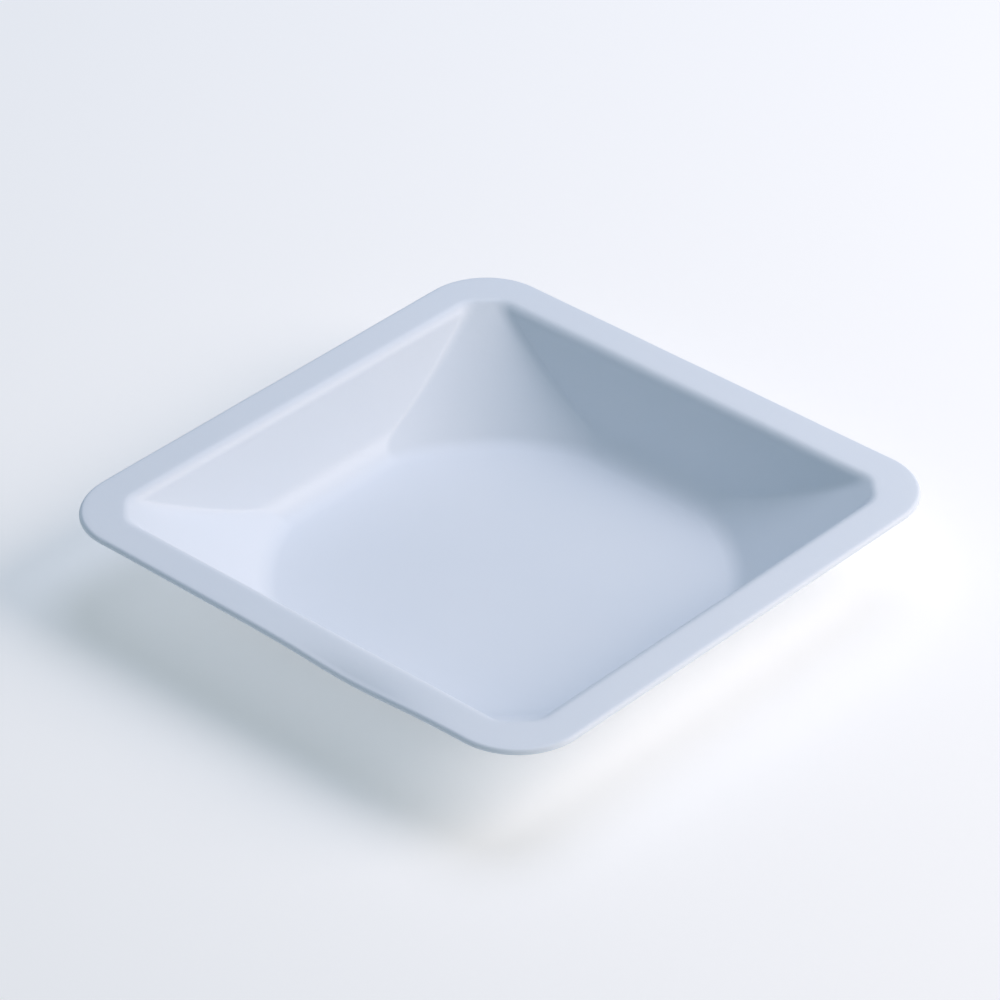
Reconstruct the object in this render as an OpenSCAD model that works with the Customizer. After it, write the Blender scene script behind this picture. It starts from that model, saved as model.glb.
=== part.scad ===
// Square weighing boat, thermoformed in one piece from thin white polystyrene sheet.
//
// A round, flat floor lies between four steep, flat walls. From the floor a shallow cone rises
// into each corner of the mouth, as a pouring channel. Walls and channels bend out over a soft
// lip into a flat rim, and the rim's outer edge is rolled down and trimmed.
//
// The origin is the centre of the floor's underside, and +Z is up.

/* [Overall] */
// Width and length over the rim
side = 140; // [110:1:180]
// Height of the rim's top above the bench
height = 21; // [14:0.5:30]
// Thickness of the formed sheet
sheet_t = 0.35; // [0.25:0.05:0.8]

/* [Rim] */
// Width of the rim, from the corner between wall and rim to the outer edge
rim_w = 10; // [7:0.5:14]
// Radius of the rim's outer corners, seen from above
corner_r = 16.5; // [8:0.5:22]
// Radius of the lip, where walls and channels bend out into the rim
lip_r = 3; // [1:0.25:4]
// Radius of the rolled-down outer edge
edge_r = 1; // [1:0.25:4]

/* [Basin] */
// How far each wall leans outwards between the floor and the rim
wall_lean = 8; // [5:0.5:16]
// Radius of the bend between the floor and what rises from it
floor_r = 8; // [3:0.5:11]
// Radius of the bend between a wall and a channel, seen from above
crease_r = 6; // [4:0.5:14]
// How far the end of each channel stays back from a mouth corner of that same radius
corner_back = 0.5; // [0.5:0.25:4]

/* [Resolution] */
// Steps along half a wall
wall_steps = 2; // [1:1:4]
// Steps round the bend between a wall and a channel
bend_steps = 5; // [3:1:6]
// Steps from that bend to the middle of the channel
channel_steps = 6; // [3:1:7]
// Rings from the floor to the rim, on each face of the sheet
rise_steps = 14; // [8:1:16]
// Rings round the rolled edge, on each face of the sheet
roll_steps = 4; // [2:1:6]

/* [Hidden] */

rim_half = side / 2;
mouth_half = rim_half - rim_w;
floor_half = mouth_half - wall_lean;
rise = height - sheet_t;

// How far from the axis a channel meets the rim.
channel_top = (mouth_half - crease_r) * sqrt(2) + crease_r - corner_back;

// The middle of the floor is a disc that ends well inside the bend, at this share of the way. The
// formed sheet's flat margin laps over the disc by the same share.
lap_share = 0.9;
floor_disc_r = lap_share * (floor_half - floor_r);
margin_share = lap_share * floor_disc_r / floor_half;

// How much of each corner of the rim, in degrees from its side, meets the creases beside a channel.
rim_corner_share = 30;

function arc_point(centre, r, angle) = centre + r * [cos(angle), sin(angle)];

// One ring on the level z, the same on all four sides. Half a side runs straight for `straight`,
// turns through `turn` at the radius `bend`, then follows the radius `end_r` to the diagonal,
// about a point that lies `end_at` out along both axes.
function ring(z, half, straight, bend, turn, end_r, end_at) =
    let (
        half_side = concat(
            [for (k = [0 : wall_steps - 1]) [half, straight * k / wall_steps]],
            [for (k = [0 : bend_steps - 1])
                arc_point([half - bend, straight], bend, turn * k / bend_steps)],
            [for (k = [0 : channel_steps])
                arc_point([end_at, end_at], end_r, turn + (45 - turn) * k / channel_steps)]
        ),
        last = len(half_side) - 1,
        quarter = concat(
            [for (k = [0 : last - 1]) half_side[k]],
            [for (k = [last : -1 : 1]) [half_side[k].y, half_side[k].x]]
        )
    )
    [
        for (a = [0 : 90 : 270], p = quarter)
            [p.x * cos(a) - p.y * sin(a), p.x * sin(a) + p.y * cos(a), z]
    ];

// How far from the axis a slope lies, `up` above its start on the floor. It rises from `foot` to
// `top` and bends at both ends. depth is 0 on the sheet's upper face, sheet_t on its underside.
function slope_reach(up, depth, foot, top) =
    let (
        angle = atan2(rise, top - foot),
        floor_edge = foot - floor_r * tan(angle / 2),
        rim_edge = top + lip_r * tan(angle / 2),
        low_r = floor_r + depth,
        high_r = lip_r - depth,
        down = rise - up
    )
    up < low_r * (1 - cos(angle)) ? floor_edge + sqrt(up * (2 * low_r - up)) :
    down < high_r * (1 - cos(angle)) ? rim_edge - sqrt(down * (2 * high_r - down)) :
    floor_edge + low_r * tan(angle / 2) + up / tan(angle);

// A ring of the basin, where a cone about the axis crosses the four walls.
function basin_ring(up, depth) =
    let (
        half = slope_reach(up, depth, floor_half, mouth_half),
        reach = slope_reach(up, depth, floor_half, channel_top),
        bend = crease_r + depth * up / rise,
        straight = sqrt(pow(reach - bend, 2) - pow(half - bend, 2))
    )
    ring(sheet_t - depth + up, half, straight, bend, atan2(straight, half - bend), reach, 0);

// A ring of the rolled edge, `over` degrees round from the flat rim.
function edge_ring(over, depth) =
    let (
        r = edge_r - depth,
        out = r * sin(over) - edge_r,
        half = rim_half + out,
        round_r = corner_r + out,
        straight = half - round_r
    )
    ring(height - edge_r + r * cos(over), half, straight, round_r, rim_corner_share, round_r, straight);

// All rings of one face of the sheet, from a margin inside the flat floor's edge to the trimmed
// edge. Their levels crowd towards the floor and the rim, where the bends are.
function face_rings(depth) = concat(
    [[for (p = basin_ring(0, depth)) [p.x * margin_share, p.y * margin_share, p.z]]],
    [for (k = [0 : rise_steps]) basin_ring(rise * (1 - cos(180 * k / rise_steps)) / 2, depth)],
    [for (k = [0 : roll_steps]) edge_ring(90 * k / roll_steps, depth)]
);

// The middle of the flat floor.
module flat_floor() {
    cylinder(h = sheet_t, r = floor_disc_r, $fn = 96);
}

// The sheet round the middle of the floor, as one closed skin: rings outwards over its upper face,
// then back along its underside.
module formed_sheet() {
    upper = face_rings(0);
    under = face_rings(sheet_t);
    rings = concat(upper, [for (k = [len(under) - 1 : -1 : 0]) under[k]]);
    around = len(rings[0]);
    faces = [
        for (j = [0 : len(rings) - 1], i = [0 : around - 1])
            let (
                a = j * around,
                b = (j + 1) % len(rings) * around,
                next = (i + 1) % around
            )
            each [[a + i, a + next, b + next], [a + i, b + next, b + i]]
    ];
    polyhedron([for (r = rings) each r], faces, convexity = 6);
}

module boat() {
    color("aliceblue") union() {
        flat_floor();
        formed_sheet();
    }
}

boat();
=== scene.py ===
import math

import bpy
from mathutils import Matrix, Vector


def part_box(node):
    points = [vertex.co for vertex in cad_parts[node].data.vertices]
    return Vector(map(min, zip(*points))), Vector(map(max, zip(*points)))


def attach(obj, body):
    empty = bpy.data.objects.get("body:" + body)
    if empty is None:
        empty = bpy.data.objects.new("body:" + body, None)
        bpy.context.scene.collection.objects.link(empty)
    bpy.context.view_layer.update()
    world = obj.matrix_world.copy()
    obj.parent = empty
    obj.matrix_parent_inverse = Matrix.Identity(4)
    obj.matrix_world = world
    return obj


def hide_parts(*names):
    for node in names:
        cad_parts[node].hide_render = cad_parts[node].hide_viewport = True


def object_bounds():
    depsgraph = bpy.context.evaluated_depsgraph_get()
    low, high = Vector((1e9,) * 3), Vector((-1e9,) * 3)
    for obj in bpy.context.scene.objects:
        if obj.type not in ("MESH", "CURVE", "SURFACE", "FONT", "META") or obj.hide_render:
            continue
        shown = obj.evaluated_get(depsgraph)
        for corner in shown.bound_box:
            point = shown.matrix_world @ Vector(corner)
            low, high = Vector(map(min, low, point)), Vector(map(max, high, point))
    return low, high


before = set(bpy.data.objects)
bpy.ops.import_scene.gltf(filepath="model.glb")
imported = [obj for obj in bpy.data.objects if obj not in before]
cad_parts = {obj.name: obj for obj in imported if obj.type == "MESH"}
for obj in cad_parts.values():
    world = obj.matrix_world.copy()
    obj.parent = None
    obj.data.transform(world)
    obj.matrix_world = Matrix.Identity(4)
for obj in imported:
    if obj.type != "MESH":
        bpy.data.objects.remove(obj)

cad_low, cad_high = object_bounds()


# ---- The boat: one sheet of white polystyrene, 0.35 mm thick, heated and drawn by vacuum over a
# mould, then cut out round its rim. It has a round flat floor, four steep flat walls, a sloping
# channel into each corner for pouring, and a flat rim whose outer edge is rolled down.

boat_low, boat_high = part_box("boat")
BOAT_SIZES = {
    "Side": boat_high.x - boat_low.x,
    "Height": boat_high.z - boat_low.z,
    "Sheet": 0.00035,
    "Rim Width": 0.010,
    "Corner Radius": 0.0165,
    "Lip Radius": 0.003,
    "Edge Radius": 0.001,
    "Wall Lean": 0.008,
    "Floor Bend": 0.008,
    "Crease Bend": 0.006,
    "Corner Back": 0.0005,
    "Unevenness": 0.00016,
    "Unevenness Spacing": 0.034,
    "Edge Sag": 0.0012,
    "Edge Sag Place": 0.021,
    "Edge Sag Width": 0.016,
}

# How many steps of mesh each stretch of the sheet gets.
FLOOR_ROWS = 10
RISE_ROWS = 52
RIM_ROWS = 8
ROLL_ROWS = 8
WALL_STEPS = 12
BEND_STEPS = 9
CHANNEL_STEPS = 9
FACE_ROWS = FLOOR_ROWS + RISE_ROWS + RIM_ROWS + ROLL_ROWS + 1
HALF_SIDE_STEPS = WALL_STEPS + BEND_STEPS + CHANNEL_STEPS

# How far round each corner of the rim, from its side, the crease beside a channel is met.
RIM_CORNER_TURN = math.pi / 6
QUARTER_TURN = math.pi / 2
HALF_CORNER = math.pi / 4
SEAM_GAP = 1e-6
UNEVEN_DETAIL = 1.0
SHARP_ANGLE = math.radians(50)

forming = bpy.data.node_groups.new("Boat forming", "GeometryNodeTree")


class Field:
    """A number that is worked out at every point of the sheet: arithmetic on it adds nodes."""

    def __init__(self, socket):
        self.socket = socket

    def math(self, operation, *others):
        node = forming.nodes.new("ShaderNodeMath")
        node.operation = operation
        for socket, value in zip(node.inputs, (self, *others)):
            plug(socket, value)
        return Field(node.outputs[0])

    def __add__(self, other):
        return self.math("ADD", other)

    def __sub__(self, other):
        return self.math("SUBTRACT", other)

    def __rsub__(self, other):
        return (self * -1) + other

    def __mul__(self, other):
        return self.math("MULTIPLY", other)

    def __truediv__(self, other):
        return self.math("DIVIDE", other)

    def __lt__(self, other):
        return self.math("LESS_THAN", other)

    def __rtruediv__(self, other):
        return self.math("POWER", -1.0) * other

    __radd__ = __add__
    __rmul__ = __mul__

    def squared(self):
        return self * self

    def root(self):
        return self.math("SQRT")

    def sin(self):
        return self.math("SINE")

    def cos(self):
        return self.math("COSINE")

    def tan(self):
        return self.math("TANGENT")

    def share_of(self, start, length):
        """How far past start this is, as a share of length, held between 0 and 1."""
        return ((self - start) / length).math("MAXIMUM", 0.0).math("MINIMUM", 1.0)


def plug(socket, value):
    if isinstance(value, Field):
        forming.links.new(value.socket, socket)
    else:
        socket.default_value = value


def choose(test, yes, no):
    node = forming.nodes.new("GeometryNodeSwitch")
    node.input_type = "FLOAT"
    plug(node.inputs["Switch"], test)
    plug(node.inputs["True"], yes)
    plug(node.inputs["False"], no)
    return Field(node.outputs[0])


def vector(x, y, z):
    node = forming.nodes.new("ShaderNodeCombineXYZ")
    for socket, value in zip(node.inputs, (x, y, z)):
        plug(socket, value)
    return node.outputs[0]


for size_name in BOAT_SIZES:
    forming.interface.new_socket(size_name, in_out="INPUT", socket_type="NodeSocketFloat")
forming.interface.new_socket("Material", in_out="INPUT", socket_type="NodeSocketMaterial")
forming.interface.new_socket("Geometry", in_out="OUTPUT", socket_type="NodeSocketGeometry")
sizes_in = forming.nodes.new("NodeGroupInput")
size = {name: Field(sizes_in.outputs[name]) for name in BOAT_SIZES}

# The sheet's two faces are one grid: from the floor's middle out to the trimmed edge on the upper
# face, then back along the underside. Its columns run round the boat.
sheet_grid = forming.nodes.new("GeometryNodeMeshGrid")
sheet_grid.inputs["Vertices X"].default_value = 8 * HALF_SIDE_STEPS + 1
sheet_grid.inputs["Vertices Y"].default_value = 2 * FACE_ROWS
index = Field(forming.nodes.new("GeometryNodeInputIndex").outputs[0])
row = index.math("FLOORED_MODULO", 2 * FACE_ROWS)
column = (index / (2 * FACE_ROWS)).math("FLOOR")
is_upper = row < FACE_ROWS - 0.5
face_row = choose(is_upper, row, (2 * FACE_ROWS - 1) - row)
depth = choose(is_upper, 0.0, size["Sheet"])

rim_half = size["Side"] / 2
mouth_half = rim_half - size["Rim Width"]
floor_half = mouth_half - size["Wall Lean"]
rise = size["Height"] - size["Sheet"]
crease = size["Crease Bend"]
channel_top = (mouth_half - crease) * math.sqrt(2) + crease - size["Corner Back"]

floor_share = face_row.share_of(0, FLOOR_ROWS)
rise_share = face_row.share_of(FLOOR_ROWS, RISE_ROWS)
rim_share = face_row.share_of(FLOOR_ROWS + RISE_ROWS, RIM_ROWS)
roll_share = face_row.share_of(FLOOR_ROWS + RISE_ROWS + RIM_ROWS, ROLL_ROWS)
up = rise * (1 - (rise_share * math.pi).cos()) / 2


def slope_reach(foot, top):
    """How far from the axis a slope from foot to top lies at the height up, bent at both ends."""
    angle = rise.math("ARCTAN2", top - foot)
    half_tan = (angle / 2).tan()
    low_r = size["Floor Bend"] + depth
    high_r = size["Lip Radius"] - depth
    down = rise - up
    bent_share = 1 - angle.cos()
    floor_edge = foot - size["Floor Bend"] * half_tan
    rim_edge = top + size["Lip Radius"] * half_tan
    low_bend = floor_edge + (up * (2 * low_r - up)).root()
    high_bend = rim_edge - (down * (2 * high_r - down)).root()
    plain = floor_edge + low_r * half_tan + up / angle.tan()
    plain_or_high = choose(down < high_r * bent_share, high_bend, plain)
    return choose(up < low_r * bent_share, low_bend, plain_or_high)


# Each half of a side runs straight, turns at the crease, then crosses the channel to the diagonal.
step = column.math("FLOORED_MODULO", 2 * HALF_SIDE_STEPS)
is_mirrored = (HALF_SIDE_STEPS + 0.5 - step) < 0
half_step = choose(is_mirrored, 2 * HALF_SIDE_STEPS - step, step)
along_wall = half_step.share_of(0, WALL_STEPS)
round_bend = half_step.share_of(WALL_STEPS, BEND_STEPS)
across_channel = half_step.share_of(WALL_STEPS + BEND_STEPS, CHANNEL_STEPS)
is_on_wall = half_step < WALL_STEPS + BEND_STEPS + 0.5


def ring_point(half, straight, bend, turn, end_r, end_at):
    """The point of a ring that this column reaches, on the first half of the side at +X."""
    bend_angle = turn * round_bend
    end_angle = turn + (HALF_CORNER - turn) * across_channel
    wall_out = half - bend + bend * bend_angle.cos()
    wall_across = straight * along_wall + bend * bend_angle.sin()
    end_out = end_at + end_r * end_angle.cos()
    end_across = end_at + end_r * end_angle.sin()
    return choose(is_on_wall, wall_out, end_out), choose(is_on_wall, wall_across, end_across)


basin_half = slope_reach(floor_half, mouth_half)
basin_reach = slope_reach(floor_half, channel_top)
basin_bend = crease + depth * up / rise
basin_straight = ((basin_reach - basin_bend).squared() - (basin_half - basin_bend).squared()).root()
basin_turn = basin_straight.math("ARCTAN2", basin_half - basin_bend)
basin = ring_point(basin_half, basin_straight, basin_bend, basin_turn, basin_reach, 0.0)

roll_r = size["Edge Radius"] - depth
roll_angle = roll_share * QUARTER_TURN
roll_out = roll_r * roll_angle.sin() - size["Edge Radius"]
edge_half = rim_half + roll_out
edge_round = size["Corner Radius"] + roll_out
edge_straight = edge_half - edge_round
edge = ring_point(edge_half, edge_straight, edge_round, RIM_CORNER_TURN, edge_round, edge_straight)


def between(start, end, share):
    return start + (end - start) * share


# The floor's rows are its outline drawn in to the middle. The flat rim's rows lie between the mouth
# and the rolled edge. The second half of each side mirrors the first across the diagonal.
first, second = (between(b * floor_share, e, rim_share) for b, e in zip(basin, edge))
out = choose(is_mirrored, second, first)
across = choose(is_mirrored, first, second)
quarter = (column / (2 * HALF_SIDE_STEPS)).math("FLOOR") * QUARTER_TURN
formed_x = out * quarter.cos() - across * quarter.sin()
formed_y = out * quarter.sin() + across * quarter.cos()
basin_z = size["Sheet"] - depth + up
edge_z = size["Height"] - size["Edge Radius"] + roll_r * roll_angle.cos()
formed_z = between(basin_z, edge_z, rim_share)

# The sheet cools a little uneven. Both of its faces shift together, and the flat floor doesn't.
uneven = forming.nodes.new("ShaderNodeTexNoise")
uneven.inputs["Detail"].default_value = UNEVEN_DETAIL
plug(uneven.inputs["Scale"], 1 / size["Unevenness Spacing"])
forming.links.new(vector(formed_x, formed_y, formed_z), uneven.inputs["Vector"])
uneven_parts = forming.nodes.new("ShaderNodeSeparateXYZ")
forming.links.new(uneven.outputs["Color"], uneven_parts.inputs[0])
shift = [(Field(part) - 0.5) * 2 * size["Unevenness"] * rise_share for part in uneven_parts.outputs]

# The outer edge of the rim at -Y sags beside its middle.
sag_away = (formed_x - size["Edge Sag Place"]) / size["Edge Sag Width"]
sag_share = (sag_away.squared() * -1).math("EXPONENT") * rim_share.squared() * (formed_y < 0)
sag = size["Edge Sag"] * sag_share

place_points = forming.nodes.new("GeometryNodeSetPosition")
forming.links.new(
    vector(formed_x + shift[0], formed_y + shift[1], formed_z + shift[2] - sag),
    place_points.inputs["Position"],
)
close_seams = forming.nodes.new("GeometryNodeMergeByDistance")
close_seams.inputs["Distance"].default_value = SEAM_GAP
face_outwards = forming.nodes.new("GeometryNodeFlipFaces")
smooth_sheet = forming.nodes.new("GeometryNodeSetShadeSmooth")
realize_sheet = forming.nodes.new("GeometryNodeRealizeInstances")
finish_sheet = forming.nodes.new("GeometryNodeSetMaterial")
forming.links.new(sizes_in.outputs["Material"], finish_sheet.inputs["Material"])
sheet_out = forming.nodes.new("NodeGroupOutput")
forming_steps = [
    sheet_grid,
    place_points,
    close_seams,
    face_outwards,
    smooth_sheet,
    realize_sheet,
    finish_sheet,
    sheet_out,
]
for earlier, later in zip(forming_steps, forming_steps[1:]):
    forming.links.new(earlier.outputs[0], later.inputs[0])

# White polystyrene: cool and faintly uneven in colour, with a soft gloss and the fine orange peel
# that a drawn sheet takes from its mould.
WHITE = (0.800, 0.862, 0.940, 1.0)
WHITE_THICKER = (0.835, 0.885, 0.950, 1.0)
CLOUD_SCALE = 26.0
CLOUD_DETAIL = 3.0
ROUGHNESS_LOW = 0.42
ROUGHNESS_HIGH = 0.56
PEEL_SCALE = 900.0
PEEL_DETAIL = 2.0
PEEL_STRENGTH = 0.12
PEEL_DEPTH = 0.0001
GLOSS_IOR = 1.55
GLOW_SHARE = 0.18
GLOW_DEPTH = 0.0006
polystyrene = bpy.data.materials.new("White polystyrene")
polystyrene.use_nodes = True
plastic_nodes = polystyrene.node_tree.nodes
plastic_links = polystyrene.node_tree.links
plastic = plastic_nodes["Principled BSDF"]
plastic.inputs["IOR"].default_value = GLOSS_IOR
plastic.inputs["Subsurface Weight"].default_value = GLOW_SHARE
plastic.inputs["Subsurface Radius"].default_value = (1.0, 1.0, 1.0)
plastic.inputs["Subsurface Scale"].default_value = GLOW_DEPTH
plastic_place = plastic_nodes.new("ShaderNodeTexCoord")


def plastic_noise(scale, detail):
    node = plastic_nodes.new("ShaderNodeTexNoise")
    node.inputs["Scale"].default_value = scale
    node.inputs["Detail"].default_value = detail
    plastic_links.new(plastic_place.outputs["Object"], node.inputs["Vector"])
    return node.outputs["Fac"]


clouds = plastic_noise(CLOUD_SCALE, CLOUD_DETAIL)
tint = plastic_nodes.new("ShaderNodeMix")
tint.data_type = "RGBA"
tint.inputs["A"].default_value = WHITE
tint.inputs["B"].default_value = WHITE_THICKER
plastic_links.new(clouds, tint.inputs["Factor"])
plastic_links.new(tint.outputs["Result"], plastic.inputs["Base Color"])

gloss = plastic_nodes.new("ShaderNodeMapRange")
gloss.inputs["To Min"].default_value = ROUGHNESS_LOW
gloss.inputs["To Max"].default_value = ROUGHNESS_HIGH
plastic_links.new(clouds, gloss.inputs["Value"])
plastic_links.new(gloss.outputs["Result"], plastic.inputs["Roughness"])

peel = plastic_nodes.new("ShaderNodeBump")
peel.inputs["Strength"].default_value = PEEL_STRENGTH
peel.inputs["Distance"].default_value = PEEL_DEPTH
plastic_links.new(plastic_noise(PEEL_SCALE, PEEL_DETAIL), peel.inputs["Height"])
plastic_links.new(peel.outputs["Normal"], plastic.inputs["Normal"])

blank = bpy.data.meshes.new("boat_sheet_blank")
boat = bpy.data.objects.new("boat_sheet", blank)
bpy.context.scene.collection.objects.link(boat)
form = boat.modifiers.new("Forming", "NODES")
form.node_group = forming
for item in forming.interface.items_tree:
    if item.in_out == "INPUT":
        form[item.identifier] = polystyrene if item.name == "Material" else BOAT_SIZES[item.name]
formed_boat = boat.evaluated_get(bpy.context.evaluated_depsgraph_get())
boat_mesh = bpy.data.meshes.new_from_object(formed_boat)
boat.modifiers.remove(form)
boat.data = boat_mesh
boat_mesh.name = "boat_sheet"
boat_mesh.materials.pop(index=0)
boat_mesh.set_sharp_from_angle(angle=SHARP_ANGLE)
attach(boat, "root")
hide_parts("boat")


# ---- The bench: a plain matt off-white top, level with the underside of the boat's floor. It is one
# flat face, wide enough to fill the view, kept pale by a faint glow. It isn't part of the boat.

BENCH_HALF = 6.0
BENCH_CORNERS = [(-1, -1), (1, -1), (1, 1), (-1, 1)]
BENCH_COLOR = (0.93, 0.92, 0.90, 1.0)
BENCH_ROUGHNESS = 0.85
BENCH_LIFT_COLOR = (1.0, 1.0, 1.0, 1.0)
BENCH_LIFT = 0.20
bench_points = [(x * BENCH_HALF, y * BENCH_HALF, cad_low.z) for x, y in BENCH_CORNERS]
bench_mesh = bpy.data.meshes.new("bench")
bench_mesh.from_pydata(bench_points, [], [(0, 1, 2, 3)])
bench = bpy.data.objects.new("bench", bench_mesh)
bpy.context.scene.collection.objects.link(bench)
bench_finish = bpy.data.materials.new("Pale bench")
bench_finish.use_nodes = True
bench_shader = bench_finish.node_tree.nodes["Principled BSDF"]
bench_shader.inputs["Base Color"].default_value = BENCH_COLOR
bench_shader.inputs["Roughness"].default_value = BENCH_ROUGHNESS
bench_shader.inputs["Emission Color"].default_value = BENCH_LIFT_COLOR
bench_shader.inputs["Emission Strength"].default_value = BENCH_LIFT
bench_mesh.materials.append(bench_finish)


# ---- The studio: a pale cool room, a broad warm main lamp low at the right, a broad cooler side
# lamp high at the back, and the camera, which stands on the -Y and +X side and looks down.

ROOM_COLOR = (0.62, 0.84, 1.0, 1.0)
ROOM_STRENGTH = 0.292
room = bpy.data.worlds.new("Pale room")
room.use_nodes = True
room_light = room.node_tree.nodes["Background"]
room_light.inputs["Color"].default_value = ROOM_COLOR
room_light.inputs["Strength"].default_value = ROOM_STRENGTH
bpy.context.scene.world = room
bpy.context.scene.view_settings.view_transform = "Standard"

LAMP_DISTANCE = 1.1
LAMP_SPAN = 0.8
LAMPS = {
    "Main lamp": {"azimuth": 40, "elevation": 35, "power": 7.7, "color": (1.0, 0.87, 0.82)},
    "Side lamp": {"azimuth": 110, "elevation": 60, "power": 3.7, "color": (0.77, 0.80, 1.0)},
}
for lamp_name, lamp_facts in LAMPS.items():
    lamp_data = bpy.data.lights.new(lamp_name, "AREA")
    lamp_data.shape = "DISK"
    lamp_data.size = LAMP_SPAN
    lamp_data.energy = lamp_facts["power"]
    lamp_data.color = lamp_facts["color"]
    lamp = bpy.data.objects.new(lamp_name, lamp_data)
    bpy.context.scene.collection.objects.link(lamp)
    lamp_azimuth = math.radians(lamp_facts["azimuth"])
    lamp_elevation = math.radians(lamp_facts["elevation"])
    lamp_way = Vector((
        math.cos(lamp_azimuth) * math.cos(lamp_elevation),
        math.sin(lamp_azimuth) * math.cos(lamp_elevation),
        math.sin(lamp_elevation),
    ))
    lamp.location = lamp_way * LAMP_DISTANCE
    lamp.rotation_euler = (-lamp_way).to_track_quat("-Z", "Y").to_euler()

VIEW_TARGET = Vector((0.0, 0.0, 0.0095))
VIEW_DISTANCE = 1.152
VIEW_ELEVATION = math.radians(34.66)
VIEW_AZIMUTH = math.radians(42.65)
VIEW_ROLL = math.radians(-0.355)
VIEW_SHIFT_X = -0.0011
VIEW_SHIFT_Y = 0.0413
LENS = 188.57
SENSOR_WIDTH = 36.0
NEAR_CLIP = 0.01
view_back = Vector((
    math.sin(VIEW_AZIMUTH) * math.cos(VIEW_ELEVATION),
    -math.cos(VIEW_AZIMUTH) * math.cos(VIEW_ELEVATION),
    math.sin(VIEW_ELEVATION),
))
camera_data = bpy.data.cameras.new("Camera")
camera_data.sensor_width = SENSOR_WIDTH
camera_data.lens = LENS
camera_data.shift_x = VIEW_SHIFT_X
camera_data.shift_y = VIEW_SHIFT_Y
camera_data.clip_start = NEAR_CLIP
camera = bpy.data.objects.new("Camera", camera_data)
bpy.context.scene.collection.objects.link(camera)
camera_place = Matrix.Translation(VIEW_TARGET + view_back * VIEW_DISTANCE)
camera_aim = (-view_back).to_track_quat("-Z", "Y").to_matrix().to_4x4()
camera.matrix_world = camera_place @ camera_aim @ Matrix.Rotation(VIEW_ROLL, 4, "Z")
bpy.context.scene.camera = camera

bpy.context.view_layer.update()
